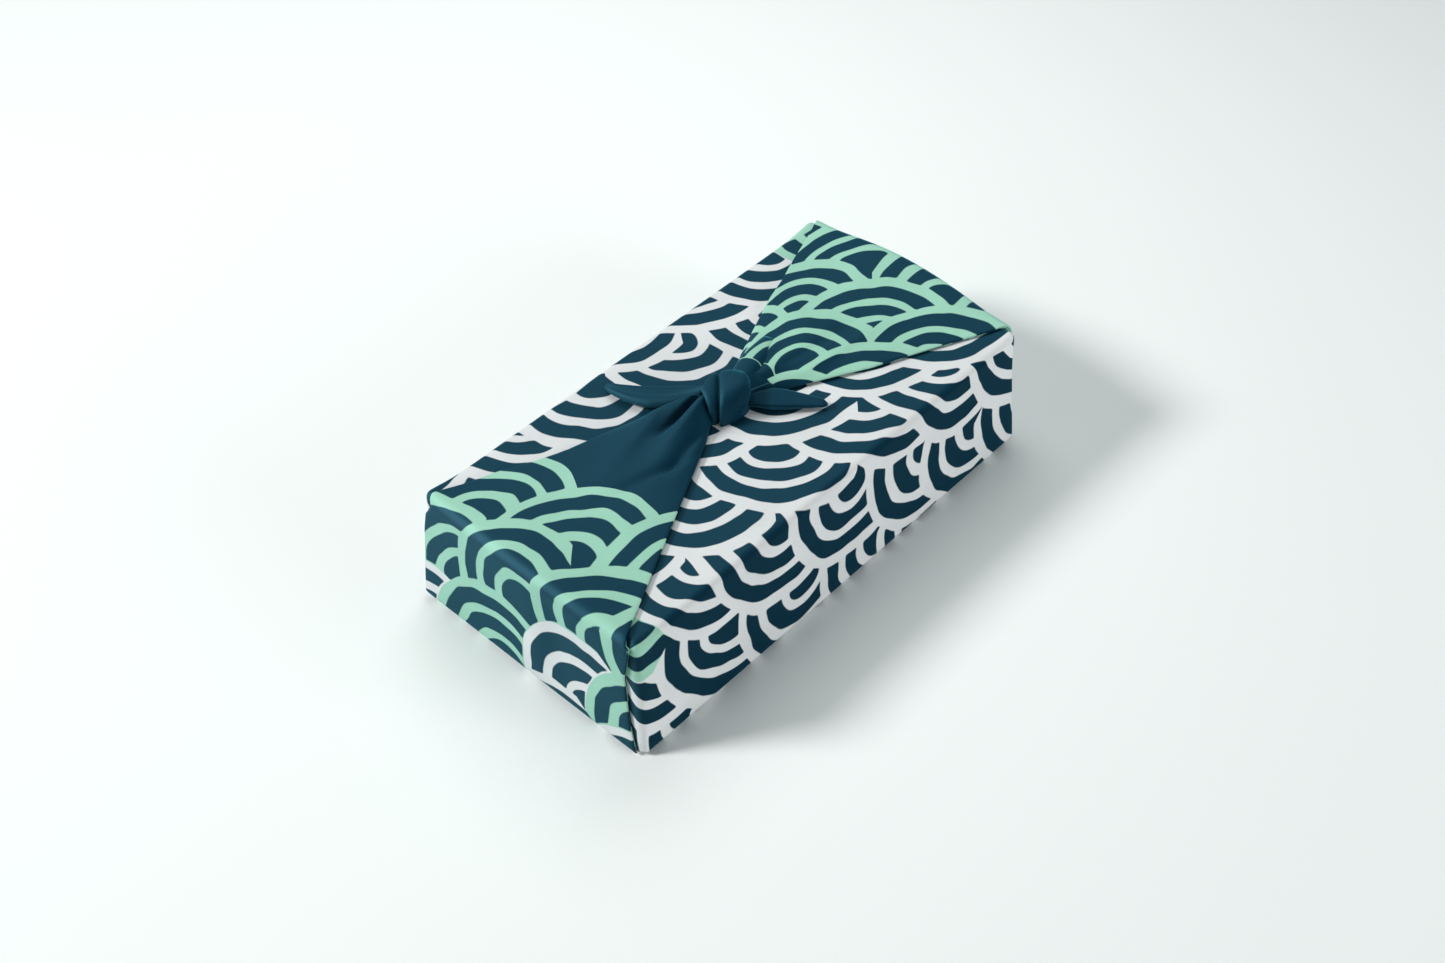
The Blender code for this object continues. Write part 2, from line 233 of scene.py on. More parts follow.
def turn_points(start, end, centre, steps):
    """Points of the arc from start to end round a centre, without the end."""
    first = math.atan2(*(start - centre)[::-1])
    sweep = math.atan2(*(end - centre)[::-1]) - first
    sweep = (sweep + math.pi) % (2 * math.pi) - math.pi
    radius = np.linalg.norm(start - centre)
    angles = [first + sweep * i / steps for i in range(steps)]
    return [centre + radius * np.array((math.cos(a), math.sin(a))) for a in angles]


def rounded(corners, spacing):
    """Points along a polyline in a plane: each corner is a point and its radius."""
    places = [np.array(corner[:2], float) for corner in corners]
    points = []
    start = places[0]
    for i in range(1, len(corners) - 1):
        into = unit(places[i] - places[i - 1])
        away = unit(places[i + 1] - places[i])
        radius = corners[i][2]
        before = places[i] - into * radius
        after = places[i] + away * radius
        centre = before + away * radius
        if np.linalg.norm(before - start) > TOUCHING:
            points += straight(start, before, spacing)
        steps = BEND_STEPS if radius > FOLD_RADIUS else FOLD_STEPS
        points += turn_points(before, after, centre, steps)
        start = after
    points += straight(start, places[-1], spacing)
    return points


class Row:
    """One line of the cloth along X: where it crosses the YZ plane, and its place on the flat cloth."""

    def __init__(self, point, q, finish):
        self.point = point
        self.q = q
        self.finish = finish
        over_y = max(abs(point[0]) - (SIDE - BEND), 0)
        above = point[1] > HEIGHT / 2
        over_z = max(point[1] - (LID - BEND) if above else GROUND + BEND - point[1], 0)
        size = math.hypot(over_y, over_z)
        layer = BEND - size
        self.out = (math.copysign(over_y, point[0]) / size, (over_z if above else -over_z) / size)
        self.side = SIDE - layer
        self.lid = LID - layer
        self.end = WALL_END - layer

    def inset(self, depth):
        """The row's point on the end face, this deep inside the outline."""
        y = self.point[0] - self.out[0] * depth
        z = self.point[1] - self.out[1] * depth
        y = max(-(self.side - depth), min(self.side - depth, y))
        return y, min(z, self.lid - depth)

    def reach(self):
        """Half the cloth's width at this row."""
        return REACH - abs(self.q)


def wrap_path():
    """The run round the box, in stretches: corners with radii, spacing, finish."""
    inner = 4 * GAP
    low = 8 * MM
    high = 58 * MM
    top = LID
    hidden_start = 42 * MM
    hidden_end = 50 * MM
    hem = HEM_HEIGHT + GAP / 2
    fold = GAP / 2
    hidden = (
        (hidden_start, top - 2 * GAP, 0),
        (2 * GAP - SIDE, top - 2 * GAP, BEND - 2 * GAP),
        (2 * GAP - SIDE, low, fold),
        (GAP - SIDE, low, fold),
        (GAP - SIDE, top - GAP, BEND - GAP),
        (SIDE - inner, top - GAP, BEND - GAP),
        (SIDE - inner, GROUND + BEND, 0),
    )
    back_foot = (
        (SIDE - inner, GROUND + BEND, 0),
        (SIDE - inner, GROUND, BEND),
        (SIDE - inner - BEND, GROUND, 0),
    )
    bottom = ((SIDE - inner - BEND, GROUND, 0), (BEND - SIDE, GROUND, 0))
    front_foot = ((BEND - SIDE, GROUND, 0), (-SIDE, GROUND, BEND), (-SIDE, GROUND + BEND, 0))
    outer = ((-SIDE, GROUND + BEND, 0), (-SIDE, top, BEND), (SIDE, top, BEND), (SIDE, hem, 0))
    back = (
        (SIDE, hem, 0),
        (SIDE, HEM_HEIGHT, fold),
        (SIDE - GAP, HEM_HEIGHT, fold),
        (SIDE - GAP, high, fold),
        (SIDE - 2 * GAP, high, fold),
        (SIDE - 2 * GAP, low, fold),
        (SIDE - 3 * GAP, low, fold),
        (SIDE - 3 * GAP, hidden_end, 0),
    )
    return (
        (hidden, COARSE, "turned"),
        (back_foot, COARSE, "round"),
        (bottom, None, "panel"),
        (front_foot, FINE, "round"),
        (outer, FINE, "turned"),
        (back, COARSE, "turned"),
    )


def wrap_rows():
    points = []
    finishes = []
    for corners, spacing, finish in wrap_path():
        if finish == "panel":
            start, end = (np.array(corner[:2]) for corner in corners)
            stretch = [start + (end - start) * i / ACROSS for i in range(ACROSS)]
        else:
            stretch = rounded(corners, spacing)
        points += stretch
        finishes += [finish] * len(stretch)
    steps = [0] + [np.linalg.norm(b - a) for a, b in zip(points, points[1:])]
    q = -np.cumsum(steps)
    first = finishes.index("panel")
    last = first + ACROSS
    middle = (q[first] + q[last]) / 2
    rows = [Row(point, place - middle, f) for point, place, f in zip(points, q, finishes)]
    rows[last].finish = "panel_edge"
    return rows


def row_points(row):
    """The row's +X half: points with p, and how much of the cloth is there."""
    bend_start = row.end - BEND
    reach = row.reach()
    arc = BEND * math.pi / 2
    flat_end = min(bend_start, reach)
    points = [(flat_end * s, *row.point, flat_end * s) for s in np.linspace(0, 1, FLAT_COLUMNS + 1)]
    corner = row.finish in ("round", "turned") and reach > bend_start + arc
    for i in range(1, BEND_COLUMNS + 1):
        turn = i / BEND_COLUMNS * math.pi / 2
        depth = BEND * (1 - math.cos(turn))
        points.append((bend_start + BEND * math.sin(turn), *row.inset(depth), bend_start + BEND * turn))
    turned = max(0, min(TURNED, reach - bend_start - arc))
    spare = reach - bend_start - arc - turned
    for share in TURN_SHARES:
        points.append((row.end, *row.inset(BEND + turned * share), bend_start + arc + turned * share))
    for share in BACK_SHARES:
        back = turned * (2 - share)
        points.append((row.end - GAP / 2, *row.inset(BEND + turned * share), bend_start + arc + back))
    count = FLAT_COLUMNS + 1
    if corner:
        count += BEND_COLUMNS
    if corner and row.finish == "turned" and turned > MM:
        count += len(TURN_SHARES)
        if spare > turned:
            count += len(BACK_SHARES)
    return points, count


class Sheet:
    """A mesh that collects grids of points, each with its place on the flat cloth."""

    def __init__(self):
        self.mesh = bmesh.new()
        self.uv = self.mesh.loops.layers.uv.new("cloth")

    def add(self, points, places, keep=lambda i, j: True, flip=False):
        """Faces over a grid; places holds (p, q) for each point."""
        verts = {}

        def vert(i, j):
            if (i, j) not in verts:
                verts[i, j] = self.mesh.verts.new(points[i][j])
            return verts[i, j]

        for i in range(len(points) - 1):
            for j in range(len(points[0]) - 1):
                if not keep(i, j):
                    continue
                cells = [(i, j), (i, j + 1), (i + 1, j + 1), (i + 1, j)]
                if flip:
                    cells.reverse()
                face = self.mesh.faces.new([vert(*cell) for cell in cells])
                face.smooth = True
                for loop, (a, b) in zip(face.loops, cells):
                    loop[self.uv].uv = places[a][b]

    def finish(self, name):
        bmesh.ops.remove_doubles(self.mesh, verts=self.mesh.verts, dist=MERGED)
        data = bpy.data.meshes.new(name)
        self.mesh.to_mesh(data)
        self.mesh.free()
        return data


def undulation(points):
    """Slight unevenness of loose cloth off the floor, as a distance at each point."""
    x, y, z = (points[..., i] / MM for i in range(3))
    waves = 0
    for share, along_x, along_y, along_z, shift in WAVES:
        waves = waves + share * np.sin(x / along_x + y / along_y + z / along_z + shift)
    return waves * UNEVEN * np.clip(points[..., 2] / UNEVEN_FROM, 0, 1)


def add_wrap(sheet):
    rows = wrap_rows()
    halves = [row_points(row) for row in rows]
    counts = [count for _, count in halves]
    for sign in (1, -1):
        grid = np.array([[(sign * x, y, z) for x, y, z, _ in points] for points, _ in halves])
        places = [[(sign * p, row.q) for *_, p in points] for row, (points, _) in zip(rows, halves)]
        grid = tapered(grid)

        def keep(i, j):
            return j + 1 < min(counts[i], counts[i + 1])

        sheet.add(grid, places, keep, flip=sign < 0)


def top_fold(table, distance):
    """Y of a panel's side fold on the lid, before the taper."""
    return read(table, distance * TOP_LENGTH / BASE_LENGTH) * BASE_WIDTH / TOP_WIDTH


def panel_stations():
    """The panel's run up the end and over the lid to the knot: x, z. The first one is under the box."""
    corners = (
        (WALL_END - BEND, GROUND, 0),
        (PANEL_END, GROUND, BEND),
        (PANEL_END, PANEL_LID, END_BEND),
        (KNOT_REACH, PANEL_LID, 0),
    )
    stations = rounded(corners, PANEL_STEP)
    stations.append(np.array((KNOT_REACH, PANEL_LID)))
    return stations


def crease_depth(creases, x, y):
    """How deep a point of the lid lies for the creases, in metres."""
    depth = 0
    for x1, y1, x2, y2, width, deepest in creases:
        along = np.array((x2 - x1, y2 - y1), float)
        length = np.linalg.norm(along)
        along /= length
        off = np.array((x / MM - x1, y / MM - y1))
        run = np.dot(off, along) / length
        if not 0 < run < 1:
            continue
        aside = (off[1] * along[0] - off[0] * along[1]) / (width * (CREASE_START + run))
        swell = math.sin(math.pi * run**CREASE_LEAN) ** CREASE_BLUNTNESS
        depth += deepest * MM * math.exp(-aside * aside) * swell
    return depth


def fullness(x, z, across):
    """How far the panel's upper edge stands out between its corners."""
    off_edge = (PANEL_END - x) / FULLNESS_ALONG
    below_edge = (HEIGHT - z) / FULLNESS_DOWN
    return FULLNESS * math.exp(-(off_edge**2) - below_edge**2) * math.sin(math.pi * across)


def end_creases(y, z):
    """Soft upright folds of an end face, as a distance outwards."""
    height = z / HEIGHT
    out = 0
    for foot, lean, width, rise in END_FOLDS:
        aside = (y / MM - foot - lean * height) / width
        out += rise * math.exp(-aside * aside)
    return out * math.sin(math.pi * min(1, height)) * MM


def panel_sides(x, z, on_lid, side_folds, insets):
    """Y of the panel's back and front folds at a station."""
    back = SIDE - read(insets[0], z)
    front = read(insets[1], z) - SIDE
    if on_lid:
        back = min(back, top_fold(side_folds[0], x))
        front = max(front, top_fold(side_folds[1], x))
    if z < GROUND + BEND:
        blend = (z - GROUND) / BEND
        back = (SIDE - 4 * GAP - BEND) * (1 - blend) + back * blend
        front = (BEND - SIDE) * (1 - blend) + front * blend
    return back, front


def crown_height(x, across):
    """How high the panel arches over its side folds on the lid."""
    steep = BACK_STEEPNESS * math.exp(-((x / BACK_STEEP_REACH) ** 2)) * (across < 0.5)
    return read(CROWN, x) * (1 - abs(2 * across - 1) ** (CROWN_FLATNESS + steep))


def panel_point(x, z, on_lid, across, sides, creases, sign):
    """One point of the panel's outer layer, before the taper."""
    back, front = sides
    y = back + (front - back) * across
    full = fullness(x, z, across)
    arch = math.sin(math.pi * across)
    if on_lid:
        depth = crease_depth(creases, sign * x, y) * min(1, CREASE_FADE * arch)
        z += max(-CREASE_SINK, crown_height(x, across) - depth)
    elif z > GROUND + BEND:
        x += end_creases(y, z) * arch
    return x + full * z / HEIGHT, y, z + full


def gathering(x, on_lid):
    """How much cloth is gathered into the panel's width."""
    if not on_lid:
        return 1
    return 1 + GATHER * math.exp(-max(0, x - KNOT_REACH) / GATHER_REACH)


def panel_middle(sign, side_folds, insets, creases):
    """The panel's outer layer as rows across it from +Y to -Y: x, y, z before the taper, and p, q."""
    stations = panel_stations()
    steps = [0] + [np.linalg.norm(b - a) for a, b in zip(stations, stations[1:])]
    run = WALL_END - BEND + np.cumsum(steps)
    rows = []
    places = []
    for k in range(ACROSS + 1):
        row = []
        place = []
        for (x, z), distance in zip(stations, run):
            on_lid = x < PANEL_END and z > HEIGHT / 2
            sides = panel_sides(x, z, on_lid, side_folds, insets)
            point = panel_point(x, z, on_lid, k / ACROSS, sides, creases, sign)
            row.append(point)
            place.append((sign * distance, point[1] * gathering(x, on_lid)))
        rows.append(row)
        places.append(place)
    return np.array(rows), np.array(places)


def surface_normals(grid):
    along = np.gradient(grid, axis=1)
    across = np.gradient(grid, axis=0)
    normals = np.cross(along, across)
    return normals / np.linalg.norm(normals, axis=2)[:, :, None]


def turned_layers(grid, places, normals, side):
    """Rows that carry a panel's side round its fold, back under it, and out again as a second pleat."""
    order = range(len(grid)) if side == 0 else range(len(grid) - 1, -1, -1)
    order = list(order)[: len(grid) // 2 - ROWS_CLEAR]
    radius = GAP / 2
    rows = []
    row_places = []
    q_sign = 1 if side == 0 else -1

    def bend_over(index, below, outwards, q):
        base = grid[index] - normals[index] * below
        inward = grid[order[1]] - grid[order[0]]
        inward = inward / np.maximum(np.linalg.norm(inward, axis=1), 1e-9)[:, None] * outwards
        for i in range(1, LAYER_BEND_STEPS):
            turn = math.pi * i / LAYER_BEND_STEPS
            aside = inward * radius * math.sin(turn)
            sunk = normals[index] * radius * (1 - math.cos(turn))
            rows.append(base - aside - sunk)
            row_places.append(q)

    width = np.linalg.norm(grid[order[-1]] - grid[order[0]], axis=1)
    q_fold = places[order[0]][:, 1]
    bend_over(order[0], 0, 1, q_fold)
    picks = np.linspace(0, len(order) - 1, UNDER_ROWS).round().astype(int)
    for pick in picks:
        rows.append(grid[order[pick]] - normals[order[pick]] * GAP)
        row_places.append(q_fold + q_sign * width * pick / len(order))
    bend_over(order[-1], GAP, -1, q_fold + q_sign * width)
    for pick in picks[::-1]:
        rows.append(grid[order[pick]] - normals[order[pick]] * 2 * GAP)
        row_places.append(q_fold + q_sign * width * (2 - pick / len(order)))
    p = places[order[0]][:, 0]
    return rows, [np.stack((p, q), axis=1) for q in row_places]


def add_panel(sheet, sign, side_folds, insets, creases):
    middle, places = panel_middle(sign, side_folds, insets, creases)
    normals = surface_normals(panel_middle(sign, side_folds, insets, ())[0])
    middle = middle + normals * undulation(middle)[:, :, None]
    back, back_places = turned_layers(middle, places, normals, 0)
    front, front_places = turned_layers(middle, places, normals, -1)
    grid = np.array(back[::-1] + list(middle) + front)
    grid_places = np.array(back_places[::-1] + list(places) + front_places)
    first = len(back)
    last = first + len(middle) - 1
    grid[:, :, 0] *= sign
    grid = tapered(grid)

    def keep(i, j):
        return first <= i < last or j >= FREE_FROM

    sheet.add(grid, grid_places, keep, flip=sign < 0)


# Where the cloth's unprinted corner begins, for the pieces of the knot
PLAIN_P = 0.42


def plain_places(points):
    """Places on the flat cloth's unprinted corner, spaced as the points are."""
    along = np.linalg.norm(np.diff(points, axis=0), axis=2).mean(axis=1)
    across = np.linalg.norm(np.diff(points, axis=1), axis=2).mean(axis=0)
    p = np.concatenate(([0], np.cumsum(along)))
    q = np.concatenate(([0], np.cumsum(across)))
    q -= q.mean()
    return [[(PLAIN_P + a, b) for b in q] for a in p]


KNOT_MIDDLE = np.array((1.0, 2.0, 70.5)) * MM

# A turn of the knot runs between these angles in degrees, and is a little square
TURN_START = -28
TURN_END = 208
TURN_STEPS = 40
SQUARENESS = 0.10

# Half sizes of the two turns across the knot and up, in mm, and how they slant in front
BEAD_SIZE = (12.8, 12.4, 0.72)
BAND_SIZE = (12.8, 12.2, 0)

# A turn of the knot: place along the axis in mm, and share of the turn's radius there
BEAD_EDGE = ((-3.9, 0.70), (-4.7, 0.78), (-5.0, 0.88), (-4.3, 0.955), (-2.9, 0.985), (-0.8, 1.0),
             (1.6, 1.0), (3.9, 0.975), (5.9, 0.92), (7.4, 0.82), (8.3, 0.68), (8.6, 0.5))
BAND_EDGE = ((-12.3, 0.66), (-13.1, 0.72), (-13.4, 0.80), (-13.0, 0.875), (-12.0, 0.90), (-10.4, 0.90),
             (-8.4, 0.875), (-6.8, 0.82), (-5.6, 0.72))

# How wide a turn is at each angle, from behind the knot to the front
BEAD_WIDTHS = ((TURN_START, 1.0), (TURN_END, 1.0))
BAND_WIDTHS = ((TURN_START, 0.25), (40, 0.3), (65, 0.5), (85, 0.8), (108, 1.0), (130, 0.76), (150, 0.6),
               (175, 0.48), (TURN_END, 0.5))

# The heart of the knot: half sizes along its axis, across and up, shift along the axis, bluntness
CORE_SIZE = (9.5, 8.6, 8.2)
CORE_SHIFT = 2
CORE_BLUNTNESS = 0.7
CORE_RINGS = 12
CORE_SIDES = 24


def knot_turn(edge, size, widths):
    """A band of cloth that passes over the knot, from the lid behind to the lid in front."""
    half_across, half_up, slant = size
    angles, shares = zip(*widths)
    grid = []
    for step in range(TURN_STEPS + 1):
        degrees = TURN_START + (TURN_END - TURN_START) * step / TURN_STEPS
        angle = math.radians(degrees)
        width = np.interp(degrees, angles, shares)
        in_front = max(0, -math.cos(angle))
        row = []
        for place, share in edge:
            along = edge[-1][0] + (place - edge[-1][0]) * width
            squared = share * (1 + SQUARENESS * math.sin(2 * angle) ** 2)
            across = half_across * math.cos(angle) * squared
            across += slant * (place - edge[0][0]) * in_front
            up = half_up * math.sin(angle) * squared
            row.append(KNOT_MIDDLE + (AXIS * along + CROSS * across + UP * up) * MM)
        grid.append(row)
    return np.array(grid)


def knot_core():
    """The rounded heart of the knot, under its turns."""
    half_along, half_across, half_up = CORE_SIZE
    grid = []
    for i in range(CORE_RINGS + 1):
        tilt = math.pi * i / CORE_RINGS
        radius = math.sin(tilt) ** CORE_BLUNTNESS
        along = -half_along * math.cos(tilt) - CORE_SHIFT
        ring = []
        for j in range(CORE_SIDES + 1):
            turn = 2 * math.pi * j / CORE_SIDES
            across = half_across * radius * math.cos(turn)
            up = half_up * radius * math.sin(turn)
            ring.append(KNOT_MIDDLE + (AXIS * along + CROSS * across + UP * up) * MM)
        grid.append(ring)
    return np.array(grid)


def curve_points(start, middle, end, steps):
    """Points of a smooth curve through three places."""
    control = 2 * middle - (start + end) / 2
    shares = [i / steps for i in range(steps + 1)]
    return [start * (1 - s) ** 2 + control * 2 * s * (1 - s) + end * s * s for s in shares]


def leaf(ends, shape, profile):
    """A free end, folded along its length. The profile is in shares of its half width and height."""
    start, middle, end = (np.array(p) * MM for p in ends)
    table = np.array(shape, float)
    side = np.cross(UP, unit(end - start))
    side *= math.copysign(1, side[1])
    grid = []
    for i, centre in enumerate(curve_points(start, middle, end, LEAF_STEPS)):
        half, height = (np.interp(i / LEAF_STEPS, table[:, 0], table[:, k]) * MM for k in (1, 2))
        ring = [centre + side * half * a + UP * height * b for a, b in profile]
        grid.append(smooth_row(ring, LEAF_SMOOTHING))
    return np.array(grid)


def smooth_row(points, steps):
    """A soft curve through points, with steps between each two."""
    ends = [2 * points[0] - points[1], *points, 2 * points[-1] - points[-2]]
    row = []
    for a, b, c, d in zip(ends, ends[1:], ends[2:], ends[3:]):
        for i in range(steps):
            t = i / steps
            bend = (2 * a - 5 * b + 4 * c - d) * t * t + (3 * b - a - 3 * c + d) * t**3
            row.append((2 * b + (c - a) * t + bend) / 2)
    row.append(points[-1])
    return row


# Steps along a free end, and between two points of its profile
LEAF_STEPS = 30
LEAF_SMOOTHING = 4

# The free ends' paths in mm, then share of the way, half width and height
LEFT_TAIL = ((-3.0, 14.5, 69.0), (-20.5, 31.5, 68.4), (-29.2, 52.0, 68.4))
RIGHT_TAIL = ((5.2, -2.6, 68.8), (17.6, -14.6, 68.3), (30.2, -30.4, 68.2))
LEFT_TAIL_SHAPE = ((0, 5, 6), (0.25, 6.6, 4.6), (0.5, 6.8, 3.6), (0.75, 5.0, 3.0), (0.92, 3.2, 2.4),
                   (1, 1.4, 1.6))
RIGHT_TAIL_SHAPE = ((0, 1.4, 3), (0.15, 2.9, 4.6), (0.38, 4.8, 5.6), (0.55, 4.5, 4.8), (0.76, 3.2, 3.4),
                    (0.93, 2.0, 2.3), (0.975, 1.3, 1.7), (1, 0.35, 0.7))

# Their sections, from under the near side, over the top, to under the far side
LEFT_TAIL_PROFILE = ((-0.6, 0), (-0.95, 0.04), (-1.05, 0.4), (-0.9, 0.92), (-0.6, 1.0), (0, 0.66),
                     (0.6, 0.36), (0.98, 0.22), (1.0, 0.08), (0.6, 0.02))
RIGHT_TAIL_PROFILE = ((-0.4, 0), (-0.9, 0.03), (-1.06, 0.16), (-0.9, 0.29), (-0.35, 0.31), (-0.35, 0.38),
                      (-0.8, 0.42), (-0.93, 0.5), (-0.7, 0.62), (0.0, 0.84), (0.6, 1.0), (0.95, 0.8),
                      (1.05, 0.35), (0.6, 0.02))

# The turned-out hem of the right panel beside the knot, in mm: upper line, middle, hem, edge under it
LOBE_RAILS = (
    ((7, 2.5, 78), (13, 2.5, 77.2), (20, 2.2, 75.6), (27, 0.5, 72.6), (31, -2, 70)),
    ((7.5, -0.5, 76), (13.5, -0.8, 75.2), (19.5, -1.2, 73.6), (25, -2.4, 71.2), (29, -4.4, 69.4)),
    ((8, -3.4, 72), (13, -4.6, 71.4), (18.5, -5.6, 70.4), (23.5, -6.4, 69.4), (27.5, -6.6, 68.7)),
    ((7, -1.6, 70), (12, -2.6, 69.6), (18, -3.6, 69.2), (23.5, -4.8, 68.8), (27, -5.6, 68.4)),
)

# The hem's number among them, and the steps between two points along them and across
HEM_RAIL = 2
LOBE_ALONG = 6
LOBE_ACROSS = 5

# The hem's distance from the cloth's edge on the flat cloth, and the step along it
LOBE_HEM = 4.5 * MM
LOBE_STEP = 0.8 * MM


def lobe():
    """The hem of the right panel, turned out beside the knot, with places near the cloth's edge."""
    rails = [smooth_row([np.array(point, float) * MM for point in rail], LOBE_ALONG) for rail in LOBE_RAILS]
    grid = np.array([smooth_row(list(column), LOBE_ACROSS) for column in zip(*rails)])
    places = []
    for i, column in enumerate(grid):
        q = i * LOBE_STEP
        hem = column[HEM_RAIL * LOBE_ACROSS]
        from_edge = [LOBE_HEM + np.linalg.norm(point - hem) for point in column]
        places.append([(REACH - q - distance * math.sqrt(2), q) for distance in from_edge])
    return grid, places


# The right panel's way into the top of the knot, in mm
NECK = ((43.0, 16.5, 72.6), (25.0, 10.4, 77.0), (7.0, 3.6, 79.4))
NECK_STEPS = 20

# Its sections: share of the way, half width and height in mm
NECK_SHAPE = ((0, 3.0, 1.5), (0.3, 5.6, 5.0), (0.6, 6.2, 5.43), (1, 5.6, 6.0))

# It passes over this part of a turn, in degrees, and its cloth is this much wider when flat
NECK_START = -10
NECK_SWEEP = 200
NECK_GATHER = 1.6


def neck():
    """The right panel's way into the top of the knot, with places that carry on its print."""
    start, middle, end = (np.array(point) * MM for point in NECK)
    table = np.array(NECK_SHAPE, float)
    side = unit(np.cross(UP, end - start))
    grid = []
    places = []
    for i, centre in enumerate(curve_points(start, middle, end, NECK_STEPS)):
        wide, tall = (np.interp(i / NECK_STEPS, table[:, 0], table[:, k]) * MM for k in (1, 2))
        row = []
        for step in range(NECK_STEPS + 1):
            turn = math.radians(NECK_START + NECK_SWEEP * step / NECK_STEPS)
            row.append(centre + side * wide * math.cos(turn) + UP * tall * (math.sin(turn) - 1))
        grid.append(row)
        places.append([(OVER_LID - point[0], point[1] * NECK_GATHER) for point in row])
    return np.array(grid), places


def add_knot(sheet):
    pieces = (
        knot_turn(BEAD_EDGE, BEAD_SIZE, BEAD_WIDTHS),
        knot_turn(BAND_EDGE, BAND_SIZE, BAND_WIDTHS),
        knot_core(),
        leaf(LEFT_TAIL, LEFT_TAIL_SHAPE, LEFT_TAIL_PROFILE),
        leaf(RIGHT_TAIL, RIGHT_TAIL_SHAPE, RIGHT_TAIL_PROFILE),
    )
    for points in pieces:
        sheet.add(points, plain_places(points))
    sheet.add(*neck())
    sheet.add(*lobe())


def make_cloth():
    sheet = Sheet()
    add_wrap(sheet)
    add_panel(sheet, -1, (LEFT_BACK, LEFT_FRONT), (LEFT_BACK_INSET, LEFT_FRONT_INSET), LEFT_CREASES)
    add_panel(sheet, 1, (RIGHT_BACK, RIGHT_FRONT), (RIGHT_BACK_INSET, RIGHT_FRONT_INSET), RIGHT_CREASES)
    add_knot(sheet)
    data = sheet.finish("furoshiki_cloth_sheet")
    obj = bpy.data.objects.new("furoshiki_cloth_sheet", data)
    bpy.context.scene.collection.objects.link(obj)
    solid = obj.modifiers.new("thickness", "SOLIDIFY")
    solid.thickness = THICK
    solid.offset = 0
    centre = (LOW + HIGH) / 2
    obj.location = (centre[0], centre[1], LOW[2])
    return obj


class Nodes:
    """Short names for building a node tree."""

    def __init__(self, tree):
        self.tree = tree

    def put(self, target, value):
        if isinstance(value, bpy.types.NodeSocket):
            self.tree.links.new(value, target)
        elif value is not None:
            target.default_value = value

    def math(self, operation, *values, clamp=False):
        node = self.tree.nodes.new("ShaderNodeMath")
        node.operation = operation
        node.use_clamp = clamp
        for socket, value in zip(node.inputs, values):
            self.put(socket, value)
        return node.outputs[0]

    def vary(self, chance, amount, base):
        """The base, moved by a chance from 0 to 1 about its middle."""
        return self.math("MULTIPLY_ADD", self.math("SUBTRACT", chance, 0.5), amount, base)

    def squares(self, x, y):
        return self.math("ADD", self.math("MULTIPLY", x, x), self.math("MULTIPLY", y, y))

    def diagonals(self, x, y):
        """The sum and the difference of two numbers, as distances along the diagonals."""
        added = self.math("MULTIPLY", self.math("ADD", x, y), math.sqrt(0.5))
        taken = self.math("MULTIPLY", self.math("SUBTRACT", x, y), math.sqrt(0.5))
        return added, taken

    def mix(self, share, first, second):
        """Between two numbers."""
        node = self.tree.nodes.new("ShaderNodeMix")
        for name, value in zip(("Factor", "A", "B"), (share, first, second)):
            self.put(node.inputs[name], value)
        return node.outputs["Result"]

    def colour(self, share, first, second, blend="MIX"):
        node = self.tree.nodes.new("ShaderNodeMix")
        node.data_type = "RGBA"
        node.blend_type = blend
        self.put(node.inputs[0], share)
        self.put(node.inputs[6], first)
        self.put(node.inputs[7], second)
        return node.outputs[2]

    def point(self, x, y, z=0):
        node = self.tree.nodes.new("ShaderNodeCombineXYZ")
        for socket, value in zip(node.inputs, (x, y, z)):
            self.put(socket, value)
        return node.outputs[0]

    def noise(self, place, scale, detail, roughness=0.5):
        node = self.tree.nodes.new("ShaderNodeTexNoise")
        self.put(node.inputs["Vector"], place)
        node.inputs["Scale"].default_value = scale
        node.inputs["Detail"].default_value = detail
        node.inputs["Roughness"].default_value = roughness
        return node.outputs["Fac"]

    def random(self, x, y):
        """Three steady random numbers for a pair of whole numbers."""
        node = self.tree.nodes.new("ShaderNodeTexWhiteNoise")
        node.noise_dimensions = "2D"
        self.put(node.inputs["Vector"], self.point(x, y))
        split = self.tree.nodes.new("ShaderNodeSeparateColor")
        self.put(split.inputs[0], node.outputs["Color"])
        return split.outputs


# The print, in mm: a scale's radius, the distance from row to row, and from scale to scale
SCALE_RADIUS = 45.0
ROW_STEP = 24.0
COLUMN_STEP = 82.0

# How far a scale strays up and along, and how its radius varies
STRAY_UP = 9.0
STRAY_ALONG = 14.0
STRAY_RADIUS = 8.0

# The navy rings of a scale: depth inside its edge, and half width. Then how deep its navy heart begins
RINGS = ((9.4, 4.2), (22.6, 4.1))
HEART = 31.6

# The line left free round a scale, and how softly the navy behind meets it
FREE_LINE = 0.6
SOFTNESS = 1.5

# Rows of scales that can reach a point, from the one behind to the one in front
ROWS_NEAR = (2.0, 1.0, 0.0, -1.0, -2.0)

# The depth in the navy where no scale lies, which is well inside a line
NO_SCALE = -5.0

# How far the rows bend, the edges tremble and the lines change in weight, each with its noise's scale
BEND_UP = (14.0, 0.015)
BEND_ALONG = (14.0, 0.014)
TREMBLE = (4.0, 0.05)
LINE_CHANGE = (2.4, 0.07)

# How fast a line passes into the navy, for each mm over its edge
LINE_SHARPNESS = 2.2

# Where the print changes from white to mint, and from mint to plain, in mm from the bottom's middle
WHITE_END = 128.0
MINT_END_LEFT = 249.0
MINT_END_RIGHT = 316.0

# These borders slant by this much for each mm of q about a middle q, down and up to these limits
BORDER_SLANT = -0.3
BORDER_MIDDLE = -200.0
BORDER_LOWEST = -66.0
BORDER_HIGHEST_LEFT = 20.0
BORDER_HIGHEST_RIGHT = 66.0

